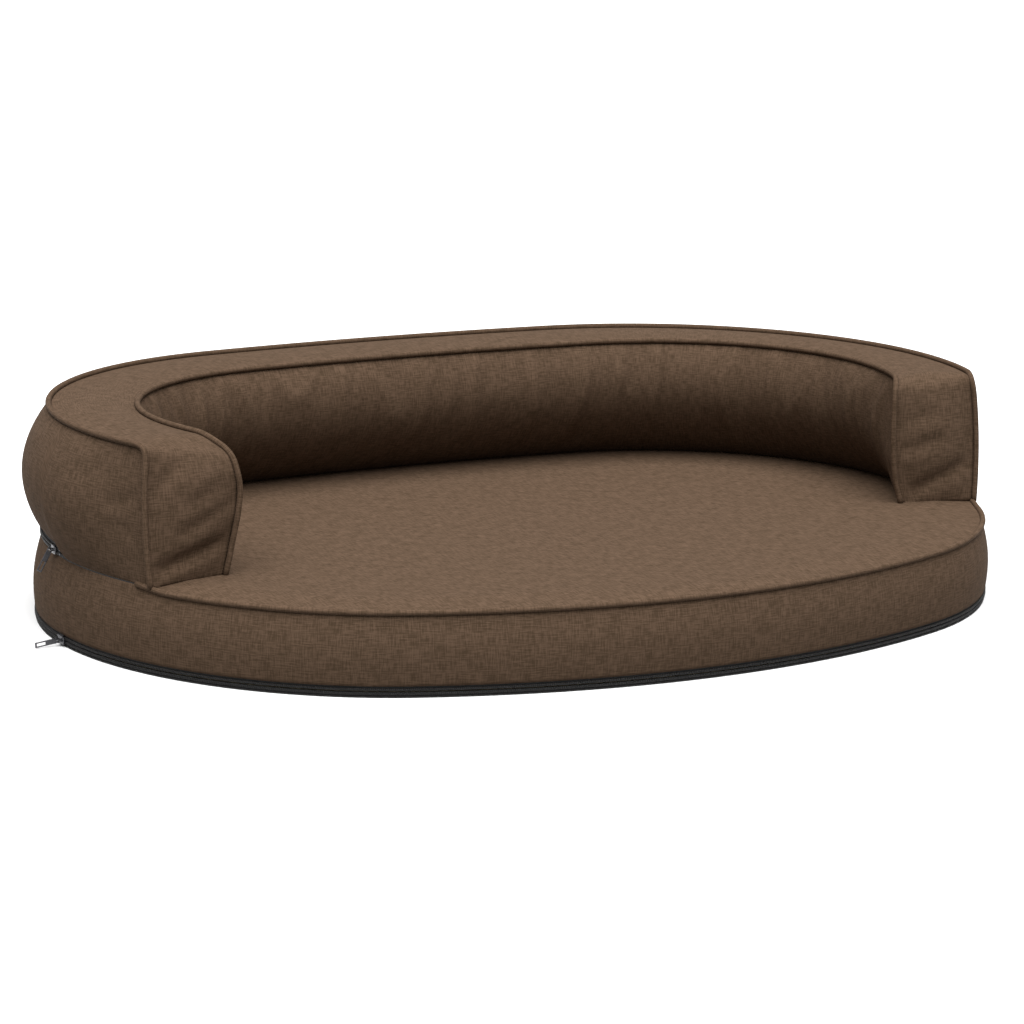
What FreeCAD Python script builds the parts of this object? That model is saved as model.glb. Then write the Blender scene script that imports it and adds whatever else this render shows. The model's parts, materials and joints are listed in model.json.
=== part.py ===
"""Pet cushion bed: an oval foam base with a raised U-shaped bolster along its sides and back.

Millimetres. The origin is on the floor at the middle of the base. +X runs along the bed's length,
-Y is the low front where the animal steps in, and +Z is up.
An "inset" is a distance inwards from the base's outline, square to it. A negative inset is outside it.
"""
import math
import os

import FreeCAD
import Part
import Sketcher

V = FreeCAD.Vector
UP = V(0, 0, 1)

doc = FreeCAD.newDocument("pet_bed")
dims = doc.addObject("Spreadsheet::Sheet", "dims")

DIMENSIONS = {
    # The base's outline is an oval of four tangent arcs.
    "bed_length": 884,
    "bed_width": 617,
    "back_radius": 2000,
    "widest_line": 11,  # Y of the line through the two side arcs' centres
    # Base cushion
    "base_height": 68,
    "cover_cloth": 1.5,
    "underside_cloth": 1.2,
    "underside_inset": 1,
    "cloth_gap": 0.3,
    "band_top_inset": 6.4,
    "band_belly_inset": 1.6,
    # Bolster: a section across it at the sides, and one at the middle of the back
    "end_plane": -83.5,  # Y of the two end faces
    "seam_height": 185.5,  # height of the piping on both top edges
    "crown_rise": 5,
    "side_outer_inset": 11,
    "side_belly_inset": -8.5,
    "side_top_width": 71,
    "side_inner_belly": 8,
    "side_foot_inset": 43,
    "back_outer_inset": 23,
    "back_belly_inset": -2,
    "back_top_width": 82,
    "back_inner_belly": 8,
    "back_foot_inset": 63,
    "belly_height": 128,
    "bag_cloth": 0.8,
    "fill_clearance": 1,  # room left behind the upper zip's slider
    "end_face_clear": 2.6,  # from a corner's piping to the end face's cloth
    # Piping
    "piping_radius": 2.5,
    "cord_radius": 1.5,
    "piping_rise": 0.5,  # height of the front piping's middle above the seat
    "corner_swell": 1.03,  # the piping is a little fatter where it turns down at a corner
    # Zips
    "upper_zip_rise": 8,  # above the seat
    "lower_slider_gap": 0.1,  # from the underside up to the lower slider
    "lower_zip_inset": 2,
    "tape": 0.8,
    "coil_radius": 1,
    "coil_spacing": 3.2,
    "tape_split": 1.2,
    "stop_length": 2.4,
    "stop_distance": 2.2,  # degrees from the slider's middle to the stops
    # Sliders and pulls
    "slider_length": 11,
    "slider_width": 8,
    "slider_plate": 1.2,
    "slider_play": 0.4,
    "slider_lip": 0.8,
    "slider_post": 0.5,
    "post_length": 2,
    "bridge_bar": 1,
    "bridge_rise": 2.7,
    "bridge_length": 8,
    "eye_radius": 1.4,
    "eye_rim": 0.5,
    "pull_length": 20,
    "pull_width": 4.6,
    "pull_sheet": 1,
    "window_start": 11,
    "window_length": 8,
    "window_width": 2.4,
    "upper_slider_angle": 173,
    "lower_slider_angle": 179,
    "upper_pull_angle": 62,  # below the horizontal
    "lower_pull_angle": 7,
}
for row, (name, value) in enumerate(DIMENSIONS.items(), start=1):
    dims.set(f"A{row}", name)
    dims.set(f"B{row}", str(value))
    dims.setAlias(f"B{row}", name)
doc.recompute()

# Sizes that follow from the driving dimensions
HALF_LENGTH = "(dims.bed_length / 2)"
HALF_WIDTH = "(dims.bed_width / 2)"
BACK_CENTRE = f"({HALF_WIDTH} - dims.back_radius)"
SIDE_RADIUS = (
    f"((dims.back_radius^2 - {HALF_LENGTH}^2 - (dims.widest_line - {BACK_CENTRE})^2)"
    f" / (2 * (dims.back_radius - {HALF_LENGTH})))"
)
SIDE_CENTRE = f"({HALF_LENGTH} - {SIDE_RADIUS})"
FRONT_RADIUS = (
    f"(({SIDE_CENTRE}^2 + ({HALF_WIDTH} + dims.widest_line)^2 - {SIDE_RADIUS}^2)"
    f" / (2 * ({HALF_WIDTH} + dims.widest_line - {SIDE_RADIUS})))"
)
REACH = "(dims.bed_length + dims.bed_width)"  # longer than anything in the bed
UNDER_BED = "-dims.bed_width / 2"  # where the cutting blocks start
UPPER_ZIP = "(dims.base_height + dims.upper_zip_rise)"
UPPER_TAPE_TOP = f"({UPPER_ZIP} + dims.slider_width / 2)"
LOWER_ZIP = "(dims.underside_cloth + dims.lower_slider_gap + dims.slider_width / 2)"
LOWER_TAPE_TOP = f"({LOWER_ZIP} + dims.slider_width / 2)"


def number(expression):
    """Value of an expression over the sheet's cells."""
    result = dims.evalExpression(expression)
    return float(getattr(result, "Value", result))


def bind(obj, **expressions):
    """Tie an object's properties to the sheet."""
    for prop, expression in expressions.items():
        obj.setExpression(prop.replace("__", "."), expression)
    return obj


def bound_constraint(sketch, kind, target, expression):
    """Add a dimension to a sketch and tie it to the sheet."""
    index = sketch.addConstraint(Sketcher.Constraint(kind, *target, number(expression)))
    sketch.setExpression(f"Constraints[{index}]", expression)


def fix_point(sketch, geometry, end, x, y):
    """Place one point of a sketch by two expressions."""
    bound_constraint(sketch, "DistanceX", (-1, 1, geometry, end), x)
    bound_constraint(sketch, "DistanceY", (-1, 1, geometry, end), y)


def oval_outline():
    """Four-arc oval of the base, cut at the middle line and at the widest line into eight arcs."""
    sketch = doc.addObject("Sketcher::SketchObject", "base_outline")
    half_width = number(HALF_WIDTH)
    back, side, front = number("dims.back_radius"), number(SIDE_RADIUS), number(FRONT_RADIUS)
    across, line = number(SIDE_CENTRE), number("dims.widest_line")
    turn_back = math.atan2(across, line - half_width + back)
    turn_front = math.atan2(across, front - half_width - line)
    north, west, south, east = math.pi / 2, math.pi, 3 * math.pi / 2, 2 * math.pi
    arcs = (
        (0, half_width - back, back, north, north + turn_back),
        (-across, line, side, north + turn_back, west),
        (-across, line, side, west, south - turn_front),
        (0, front - half_width, front, south - turn_front, south),
        (0, front - half_width, front, south, south + turn_front),
        (across, line, side, south + turn_front, east),
        (across, line, side, east, east + north - turn_back),
        (0, half_width - back, back, north - turn_back, north),
    )
    for x, y, radius, start, end in arcs:
        sketch.addGeometry(Part.ArcOfCircle(Part.Circle(V(x, y, 0), UP, radius), start, end))
    fix_point(sketch, 0, 3, "0", BACK_CENTRE)
    bound_constraint(sketch, "Radius", (0,), "dims.back_radius")
    fix_point(sketch, 1, 3, f"-{SIDE_CENTRE}", "dims.widest_line")
    fix_point(sketch, 6, 3, SIDE_CENTRE, "dims.widest_line")
    bound_constraint(sketch, "DistanceY", (-1, 1, 3, 2), f"-{HALF_WIDTH}")
    for constraint in (
        ("PointOnObject", 0, 1, -2),
        ("PointOnObject", 3, 2, -2),
        ("PointOnObject", 3, 3, -2),
        ("PointOnObject", 4, 3, -2),
        ("Coincident", 4, 1, 3, 2),
        ("Coincident", 7, 3, 0, 3),
        ("Coincident", 7, 2, 0, 1),
        ("Coincident", 2, 3, 1, 3),
        ("Coincident", 2, 1, 1, 2),
        ("Coincident", 5, 3, 6, 3),
        ("Coincident", 5, 2, 6, 1),
        ("Horizontal", 1, 2, 1, 3),
        ("Horizontal", 6, 1, 6, 3),
        ("Tangent", 0, 2, 1, 1),
        ("Tangent", 2, 2, 3, 1),
        ("Tangent", 7, 1, 6, 2),
        ("Tangent", 4, 2, 5, 1),
    ):
        sketch.addConstraint(Sketcher.Constraint(*constraint))
    return sketch


outline = oval_outline()
ALL_ROUND = [f"Edge{index}" for index in range(1, 9)]
BACK_TO_WIDEST = ["Edge1", "Edge2"]
WIDEST_TO_FRONT = ["Edge3"]
LEFT_HALF = ["Edge1", "Edge2", "Edge3"]


def section_sketch(name, place):
    """Empty upright sketch square to the outline: its x is outwards, its y is up."""
    sketch = doc.addObject("Sketcher::SketchObject", name)
    if place == "back":
        sketch.Placement = FreeCAD.Placement(V(), FreeCAD.Rotation(V(0, 1, 0), UP, V(1, 0, 0), "XYZ"))
        edge = HALF_WIDTH
    else:
        sketch.Placement = FreeCAD.Placement(V(), FreeCAD.Rotation(V(-1, 0, 0), UP, V(0, 1, 0), "XYZ"))
        bind(sketch, Placement__Base__y="dims.widest_line")
        edge = HALF_LENGTH
    return sketch, edge


def add_arc(sketch, spots):
    """Draw an arc through three spots and say which of its ends is the first spot, and which the last.

    A sketch's arcs run anticlockwise, so one that turns the other way is drawn from its last spot.
    """
    anticlockwise = (spots[1] - spots[0]).cross(spots[2] - spots[0]).z > 0
    sketch.addGeometry(Part.Arc(*(spots if anticlockwise else spots[::-1])))
    return (1, 2) if anticlockwise else (2, 1)


def section(name, place, *sides):
    """Closed section. Each side is a list of two points, or three where it is an arc through them.

    A point is (inset, height), as expressions, and each side starts where the last one ended.
    """
    sketch, edge = section_sketch(name, place)
    ends = []
    for points in sides:
        spots = [V(number(f"{edge} - ({inset})"), number(height), 0) for inset, height in points]
        if len(points) == 2:
            sketch.addGeometry(Part.LineSegment(*spots))
            ends.append((1, 2))
            continue
        ends.append(add_arc(sketch, spots))
    for index, points in enumerate(sides):
        following = (index + 1) % len(sides)
        joint = ("Coincident", index, ends[index][1], following, ends[following][0])
        sketch.addConstraint(Sketcher.Constraint(*joint))
        inset, height = points[0]
        fix_point(sketch, index, ends[index][0], f"{edge} - ({inset})", height)
    for index, points in enumerate(sides):
        if len(points) == 3:
            inset, height = points[1]
            x = f"{edge} - ({inset})"
            belly = sketch.addGeometry(Part.Point(V(number(x), number(height), 0)), True)
            fix_point(sketch, belly, 1, x, height)
            sketch.addConstraint(Sketcher.Constraint("PointOnObject", belly, 1, index))
    return sketch


def round_section(name, place, inset, height, radius):
    """Circle for a cord, a piping or a zip's coil."""
    sketch, edge = section_sketch(name, place)
    x = f"{edge} - ({inset})"
    sketch.addGeometry(Part.Circle(V(number(x), number(height), 0), UP, number(radius)))
    fix_point(sketch, 0, 3, x, height)
    bound_constraint(sketch, "Radius", (0,), radius)
    return sketch


def swept(name, sections, edges):
    """Solid swept along the outline."""
    sweep = doc.addObject("Part::Sweep", name)
    sweep.Sections = sections
    sweep.Spine = (outline, edges)
    sweep.Solid = True
    return sweep


def box(name, x, y, z, length, width, height):
    """Block with its low corner at (x, y, z), every value an expression."""
    block = doc.addObject("Part::Box", name)
    bind(block, Placement__Base__x=x, Placement__Base__y=y, Placement__Base__z=z)
    return bind(block, Length=length, Width=width, Height=height)


def cylinder(name, radius, height):
    """Upright cylinder that stands at the origin until it is placed."""
    return bind(doc.addObject("Part::Cylinder", name), Radius=radius, Height=height)


def crosswise(disc):
    """Turn a disc of the pull's sheet so that its axis is Y and its middle is at the origin."""
    disc.Placement = FreeCAD.Placement(V(), FreeCAD.Rotation(V(1, 0, 0), 90))
    return bind(disc, Placement__Base__y="dims.pull_sheet / 2")


def group(name, *shapes):
    """Several solids kept apart in one object."""
    compound = doc.addObject("Part::Compound", name)
    compound.Links = list(shapes)
    return compound


def combined(kind, name, *shapes):
    """Fuse or intersect several objects, or cut the second and later ones from the first."""
    if kind == "Part::Cut":
        base = shapes[0]
        for index, tool in enumerate(shapes[1:], start=1):
            last = index == len(shapes) - 1
            cut = doc.addObject("Part::Cut", name if last else f"{name}_step{index}")
            cut.Base = base
            cut.Tool = tool
            base = cut
        return base
    result = doc.addObject(kind, name)
    result.Shapes = list(shapes)
    return result


def mirrored(name, source):
    """Mirror image on the bed's right side."""
    mirror = doc.addObject("Part::Mirroring", name)
    mirror.Source = source
    mirror.Normal = V(1, 0, 0)
    return mirror


def both_sides(name, left):
    """One solid from a left half and its mirror image, which meet at the middle of the back."""
    return combined("Part::MultiFuse", name, left, mirrored(f"{name}_right", left))


def plate(name, inset, bottom, height):
    """Oval plate inside the outline."""
    edge = doc.addObject("Part::Offset2D", f"{name}_edge")
    edge.Source = outline
    bind(edge, Value=f"-({inset})")
    slab = doc.addObject("Part::Extrusion", name)
    slab.Base = edge
    slab.DirMode = "Custom"
    slab.Dir = UP
    slab.Solid = True
    bind(slab, LengthFwd=height, Placement__Base__z=bottom)
    return slab


def hoop(name, inset, thickness, bottom, top):
    """Upright strip of tape or cloth that goes all round the oval."""
    outer = plate(f"{name}_outside", inset, bottom, f"({top}) - ({bottom})")
    inner = plate(f"{name}_inside", f"{inset} + {thickness}", bottom, f"({top}) - ({bottom})")
    return combined("Part::Cut", name, outer, inner)


def behind(name, y):
    """Everything behind a plane across the bed."""
    return box(name, f"-{REACH}", y, UNDER_BED, f"2 * {REACH}", REACH, REACH)


def before(name, y):
    """Everything in front of a plane across the bed."""
    return box(name, f"-{REACH}", f"({y}) - {REACH}", UNDER_BED, f"2 * {REACH}", REACH, REACH)


SUBPARTS = []


def subpart(obj, label):
    """Keep an object as one of the bed's pieces."""
    obj.Label = label
    SUBPARTS.append(obj)
    return obj


# Base cushion: underside, foam, side band and seat panel
SEAT_UNDERSIDE = "(dims.base_height - dims.cover_cloth)"
BAND_BOTTOM = f"({LOWER_TAPE_TOP} + dims.cloth_gap)"
PIPING_HEIGHT = "(dims.base_height + dims.piping_rise)"
BAND_TOP = f"({PIPING_HEIGHT} - dims.piping_radius)"
PIPING_SIDE = "(dims.band_top_inset + dims.piping_radius + dims.cloth_gap)"
CORE_INSET = "(dims.band_top_inset + dims.cover_cloth + dims.slider_plate + dims.slider_play)"

subpart(plate("underside", "dims.underside_inset", "0", "dims.underside_cloth"), "base_underside_panel")
core_bottom = "(dims.underside_cloth + dims.cloth_gap)"
core_height = f"({SEAT_UNDERSIDE} - dims.cloth_gap - {core_bottom})"
subpart(plate("foam", CORE_INSET, core_bottom, core_height), "base_foam_core")
seat = plate("seat", PIPING_SIDE, SEAT_UNDERSIDE, "dims.cover_cloth")
subpart(seat, "seat_panel")

def wall(name, place, start, middle, end, thickness):
    """Section of a cloth panel: an arc through three points, with its thickness laid inwards."""
    across, up = thickness
    deeper = [(f"{inset} + {across}", f"{height} + {up}") for inset, height in (start, middle, end)]
    return section(name, place, [start, middle, end], [end, deeper[2]], deeper[::-1], [deeper[0], start])


foot_of_band, top_of_band = ("dims.underside_inset", BAND_BOTTOM), ("dims.band_top_inset", BAND_TOP)
belly_of_band = ("dims.band_belly_inset", "dims.base_height / 2")
band_line = (foot_of_band, belly_of_band, top_of_band)
band_section = wall("band_section", "back", *band_line, ("dims.cover_cloth", "0"))
subpart(swept("side_band", [band_section], ALL_ROUND), "base_side_band")

# Piping round the step-in edge, between the bolster's two ends
in_front = before("in_front_of_ends", "dims.end_plane - dims.cloth_gap")


def front_ring(name, radius):
    """Round ring on the seat's edge, kept only where the bolster leaves it free."""
    circle = round_section(f"{name}_circle", "back", "dims.band_top_inset", PIPING_HEIGHT, radius)
    return combined("Part::MultiCommon", name, swept(f"{name}_ring", [circle], ALL_ROUND), in_front)


front_cord = front_ring("front_cord", "dims.cord_radius")
front_solid = front_ring("front_solid", "dims.piping_radius")
subpart(front_cord, "front_edge_piping_cord")
subpart(combined("Part::Cut", "front_cover", front_solid, front_cord), "front_edge_piping")


# Bolster: three cloth panels round an inner bag of fibre
def side_points(place):
    """Named insets of the bolster's section at the sides or at the back."""
    outer = f"dims.{place}_outer_inset"
    inner = f"({outer} + dims.{place}_top_width)"
    return {
        "outer": outer,
        "inner": inner,
        "middle": f"(({outer} + {inner}) / 2)",
        "belly": f"dims.{place}_belly_inset",
        "inner_belly": f"({inner} + dims.{place}_inner_belly)",
        "foot": f"dims.{place}_foot_inset",
    }


PANEL_BOTTOM = f"({UPPER_TAPE_TOP} + dims.cloth_gap)"
PANEL_TOP = "(dims.seam_height - dims.piping_radius)"
FOOT = "(dims.base_height + dims.cloth_gap)"
CROWN = "(dims.seam_height + dims.crown_rise)"


def along_bolster(name, draw):
    """Sweep a section from the middle of the back to the front on the left, then mirror it."""
    back, side = draw(f"{name}_back", "back"), draw(f"{name}_side", "side")
    rear = swept(f"{name}_rear", [back, side], BACK_TO_WIDEST)
    fore = swept(f"{name}_fore", [side], WIDEST_TO_FRONT)
    return both_sides(f"{name}_both", combined("Part::MultiFuse", f"{name}_left", rear, fore))


def outer_wall(name, place):
    """Outer panel, from the upper zip to the outer piping."""
    at = side_points(place)
    start, end = ("dims.band_top_inset", PANEL_BOTTOM), (at["outer"], PANEL_TOP)
    return wall(name, place, start, (at["belly"], "dims.belly_height"), end, ("dims.cover_cloth", "0"))


def inner_wall(name, place):
    """Inner panel, from the inner piping down to the seat, where it tucks in under itself."""
    at = side_points(place)
    start, end = (at["inner"], PANEL_TOP), (at["foot"], FOOT)
    middle = (at["inner_belly"], "dims.belly_height")
    return wall(name, place, start, middle, end, ("(-dims.cover_cloth)", "0"))


def top_wall(name, place):
    """Crowned top strip between the two pipings."""
    at = side_points(place)
    outer = (f"{at['outer']} + dims.piping_radius", "dims.seam_height")
    inner = (f"{at['inner']} - dims.piping_radius", "dims.seam_height")
    middle = (at["middle"], CROWN)
    return wall(name, place, outer, middle, inner, ("0", "(-dims.cover_cloth)"))


def stuffing(depth, lift):
    """Section of the bolster's stuffing: a depth inside the panels, a lift above the seat and the zip."""

    def draw(name, place):
        at = side_points(place)
        within = f"dims.cover_cloth + {depth}"
        slider_back = "dims.band_top_inset + dims.tape + dims.slider_play + dims.slider_plate"
        toe_inset = f"{slider_back} + dims.fill_clearance + {depth}"
        ledge, low, high = f"{PANEL_BOTTOM} + {lift}", f"{FOOT} + {lift}", f"{PANEL_TOP} - {lift}"
        start, shoulder = (f"dims.band_top_inset + {within}", ledge), (f"{at['outer']} + {within}", high)
        inner_shoulder = (f"{at['inner']} - ({within})", high)
        heel, toe = (f"{at['foot']} - ({within})", low), (toe_inset, low)
        return section(
            name,
            place,
            [start, (f"{at['belly']} + {within}", "dims.belly_height"), shoulder],
            [shoulder, (at["middle"], f"{CROWN} - ({within})"), inner_shoulder],
            [inner_shoulder, (f"{at['inner_belly']} - ({within})", "dims.belly_height"), heel],
            [heel, toe],
            [toe, (toe_inset, ledge)],
            [(toe_inset, ledge), start],
        )

    return draw


# Where the piping down the corners of the bolster's ends stops, above the front piping
LEG_FOOT = f"({PIPING_HEIGHT} + 2 * dims.piping_radius + dims.cloth_gap)"


def end_face(name, place):
    """Section of the cloth that closes each end, inside the piping that edges it."""
    at = side_points(place)
    clear = "dims.piping_radius + dims.end_face_clear"
    toe = (f"dims.band_top_inset + {clear}", LEG_FOOT)
    shoulder = (f"{at['outer']} + {clear}", "dims.seam_height")
    inner_shoulder = (f"{at['inner']} - ({clear})", "dims.seam_height")
    heel = (f"{at['foot']} - ({clear})", LEG_FOOT)
    return section(
        name,
        place,
        [toe, (f"{at['belly']} + {clear}", "dims.belly_height"), shoulder],
        [shoulder, (at["middle"], CROWN), inner_shoulder],
        [inner_shoulder, (f"{at['inner_belly']} - ({clear})", "dims.belly_height"), heel],
        [heel, toe],
    )


END_CLOTH = "(dims.end_plane + dims.cover_cloth)"
PANEL_END = "(dims.end_plane + dims.piping_radius + dims.cloth_gap)"
behind_ends = behind("behind_ends", PANEL_END)
behind_end_cloth = behind("behind_end_cloth", END_CLOTH)
behind_fill_end = behind("behind_fill_end", f"{PANEL_END} + dims.bag_cloth")
slice_size = (f"2 * {REACH}", "dims.cover_cloth", REACH)
end_slice = box("end_slice", f"-{REACH}", "dims.end_plane", UNDER_BED, *slice_size)

outer_panel = along_bolster("outer_panel", outer_wall)
inner_panel = along_bolster("inner_panel", inner_wall)
top_panel = along_bolster("top_panel", top_wall)
end_block = along_bolster("end_block", end_face)
subpart(combined("Part::MultiCommon", "outer_cut", outer_panel, behind_ends), "bolster_outer_panel")
subpart(combined("Part::MultiCommon", "inner_cut", inner_panel, behind_ends), "bolster_inner_panel")
end_faces = combined("Part::MultiCommon", "end_faces", end_block, end_slice)
top_cut = combined("Part::MultiCommon", "top_cut", top_panel, behind_end_cloth)
subpart(combined("Part::MultiFuse", "top_and_ends", top_cut, end_faces), "bolster_top_strip")

bag_solid = along_bolster("bag_solid", stuffing("dims.cloth_gap", "0"))
fill_solid = along_bolster("fill_solid", stuffing("(dims.cloth_gap + dims.bag_cloth)", "dims.bag_cloth"))
fill = combined("Part::MultiCommon", "fill", fill_solid, behind_fill_end)
bag_block = combined("Part::MultiCommon", "bag_block", bag_solid, behind_ends)
subpart(fill, "bolster_fill")
subpart(combined("Part::Cut", "bag", bag_block, fill), "bolster_inner_bag")


# Piping along the bolster's two top edges, and down the corners of its ends
def across_at_end(inset):
    """X of the point where an inset line meets the right end face."""
    return f"({SIDE_CENTRE} + sqrt(({SIDE_RADIUS} - {inset})^2 - (dims.widest_line - dims.end_plane)^2))"


def piping_leg(name, inset, belly_inset, foot_inset, radius):
    """Arched cord from a top corner of the right end face down to the seat."""
    top_x, belly_x, foot_x = across_at_end(inset), across_at_end(belly_inset), across_at_end(foot_inset)
    route = doc.addObject("Sketcher::SketchObject", f"{name}_route")
    route.Placement = FreeCAD.Placement(V(), FreeCAD.Rotation(V(1, 0, 0), 90))
    bind(route, Placement__Base__y="dims.end_plane")
    foot = V(number(foot_x), number(LEG_FOOT), 0)
    belly = V(number(belly_x), number("dims.belly_height"), 0)
    top = V(number(top_x), number("dims.seam_height"), 0)
    foot_end, top_end = add_arc(route, [foot, belly, top])
    route.addGeometry(Part.Point(belly), True)
    fix_point(route, 0, top_end, top_x, "dims.seam_height")
    fix_point(route, 0, foot_end, foot_x, LEG_FOOT)
    fix_point(route, 1, 1, belly_x, "dims.belly_height")
    route.addConstraint(Sketcher.Constraint("PointOnObject", 1, 1, 0))
    circle = doc.addObject("Sketcher::SketchObject", f"{name}_circle")
    bind(circle, Placement__Base__z="dims.seam_height")
    circle.addGeometry(Part.Circle(V(number(top_x), number("dims.end_plane"), 0), UP, number(radius)))
    fix_point(circle, 0, 3, top_x, "dims.end_plane")
    bound_constraint(circle, "Radius", (0,), radius)
    leg = doc.addObject("Part::Sweep", name)
    leg.Sections = [circle]
    leg.Spine = (route, ["Edge1"])
    leg.Solid = True
    return leg


def piping_solid(name, edge, radius):
    """Round solid along one top edge of the bolster and down both of its ends."""

    def draw(sketch_name, place):
        return round_section(sketch_name, place, side_points(place)[edge], "dims.seam_height", radius)

    along = combined("Part::MultiCommon", f"{name}_along", along_bolster(f"{name}_top", draw), behind_piping)
    corner = bind(doc.addObject("Part::Sphere", f"{name}_corner"), Radius=f"{radius} * dims.corner_swell")
    at = side_points("side")
    inset, belly_inset = at[edge], {"outer": at["belly"], "inner": at["inner_belly"]}[edge]
    bind(corner, Placement__Base__x=across_at_end(inset))
    bind(corner, Placement__Base__y="dims.end_plane", Placement__Base__z="dims.seam_height")
    foot_inset = {"outer": "dims.band_top_inset", "inner": "dims.side_foot_inset"}[edge]
    leg = piping_leg(f"{name}_leg", inset, belly_inset, foot_inset, radius)
    right = combined("Part::MultiFuse", f"{name}_right", corner, leg)
    return combined("Part::MultiFuse", name, along, right, mirrored(f"{name}_left", right))


behind_piping = behind("behind_piping", "dims.end_plane")
for edge in ("outer", "inner"):
    cord = piping_solid(f"{edge}_cord", edge, "dims.cord_radius")
    solid = piping_solid(f"{edge}_piping", edge, "dims.piping_radius")
    subpart(cord, f"bolster_{edge}_piping_cord")
    subpart(combined("Part::Cut", f"{edge}_piping_cover", solid, cord), f"bolster_{edge}_piping")


# Zips. Each slider, its stops and its pull are drawn square to the axes about the left side arc's
# centre, at the angle zero, and then turned to their place on the arc.
def on_side_arc(obj, angle):
    """Turn an object about the left side arc's centre."""
    obj.Placement = FreeCAD.Placement(V(), FreeCAD.Rotation(UP, number(angle)))
    bind(obj, Placement__Base__x=f"-{SIDE_CENTRE}", Placement__Base__y="dims.widest_line")
    return bind(obj, Placement__Rotation__Angle=angle)


def slider_and_pull(zip_name, tape_inset, height, angle, pull_drop):
    """Slider that clasps both rows of coil, and a pull that hangs on its bridge."""
    inner_face = f"({SIDE_RADIUS} - {tape_inset} - dims.tape - dims.slider_play)"
    outer_face = f"({SIDE_RADIUS} - {tape_inset} + 2 * dims.coil_radius + dims.slider_play)"
    bridge = f"({outer_face} + dims.slider_plate + dims.bridge_rise)"
    bar, lip, post, long = "dims.bridge_bar", "dims.slider_lip", "dims.slider_post", "dims.slider_length"
    tail, low = f"-{long} / 2", f"({height} - dims.slider_width / 2)"
    bar_low, bar_tail = f"{height} - {bar} / 2", "-dims.bridge_length / 2"
    plate_size = ("dims.slider_plate", long, "dims.slider_width")
    post_size = (f"{outer_face} - {inner_face}", "dims.post_length", post)
    lip_depth = "dims.coil_radius * 1.5"
    parts = [
        box(f"{zip_name}_front", outer_face, tail, low, *plate_size),
        box(f"{zip_name}_rear", f"{inner_face} - dims.slider_plate", tail, low, *plate_size),
        box(f"{zip_name}_post", inner_face, tail, f"{height} - {post} / 2", *post_size),
        box(f"{zip_name}_bar", f"{bridge} - {bar} / 2", bar_tail, bar_low, bar, "dims.bridge_length", bar),
    ]
    for end, y in (("tail", bar_tail), ("nose", f"dims.bridge_length / 2 - {bar}")):
        parts.append(box(f"{zip_name}_{end}", outer_face, y, bar_low, f"{bridge} - {outer_face}", bar, bar))
    for end, z in (("low_lip", low), ("high_lip", f"{low} + dims.slider_width - {lip}")):
        parts.append(box(f"{zip_name}_{end}", f"{outer_face} - {lip_depth}", tail, z, lip_depth, long, lip))
    slider = combined("Part::MultiFuse", f"{zip_name}_slider_body", *parts)
    subpart(on_side_arc(slider, angle), f"{zip_name}_zip_slider")

    sheet, width, window_width = "dims.pull_sheet", "dims.pull_width", "dims.window_width"
    eye_disc = crosswise(cylinder(f"{zip_name}_eye_disc", f"{width} / 2", sheet))
    eye_hole = crosswise(cylinder(f"{zip_name}_eye_hole", "dims.eye_radius", sheet))
    tab_start, tab_length = "dims.eye_radius + dims.eye_rim", "dims.pull_length - dims.eye_radius"
    tab = box(f"{zip_name}_tab", tab_start, f"-{sheet} / 2", f"-{width} / 2", tab_length, sheet, width)
    window_size = ("dims.window_length", sheet, window_width)
    window_low = f"-{window_width} / 2"
    window = box(f"{zip_name}_window", "dims.window_start", f"-{sheet} / 2", window_low, *window_size)
    blank = combined("Part::MultiFuse", f"{zip_name}_blank", eye_disc, tab)
    pull = combined("Part::Cut", f"{zip_name}_turned_pull", blank, eye_hole, window)
    pull.Placement = FreeCAD.Placement(V(), FreeCAD.Rotation(V(0, 1, 0), number(pull_drop)))
    bind(pull, Placement__Base__x=bridge, Placement__Base__z=height)
    bind(pull, Placement__Rotation__Angle=pull_drop)
    subpart(on_side_arc(group(f"{zip_name}_placed_pull", pull), angle), f"{zip_name}_zip_pull")


def zip_stops(zip_name, coil_inset, height, angle):
    """Two metal stops, one at the end of each row of coil."""
    x = f"{SIDE_RADIUS} - {coil_inset} - dims.coil_radius"
    size, long = "dims.coil_radius * 2", "dims.stop_length"
    stops = []
    for row, offset in (("lower", "-dims.coil_spacing / 2"), ("upper", "dims.coil_spacing / 2")):
        low = f"{height} + {offset} - dims.coil_radius"
        stops.append(box(f"{zip_name}_{row}_stop", x, f"-{long} / 2", low, size, long, size))
    subpart(on_side_arc(group(f"{zip_name}_stop_pair", *stops), angle), f"{zip_name}_zip_stops")


def coil(name, inset, height, edges):
    """One row of coil along some of the outline."""
    return swept(name, [round_section(f"{name}_circle", "back", inset, height, "dims.coil_radius")], edges)


def sector(name, start, turn):
    """Upright slice of a cylinder about the left side arc's centre, to cut the coil square."""
    wedge = bind(cylinder(name, REACH, REACH), Angle=turn)
    return on_side_arc(wedge, start)


# Half of the turn about the side arc's centre that a stop takes up
HALF_STOP = f"((dims.stop_length / 2 + dims.cloth_gap) / {SIDE_RADIUS} * 180 / pi)"

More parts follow.
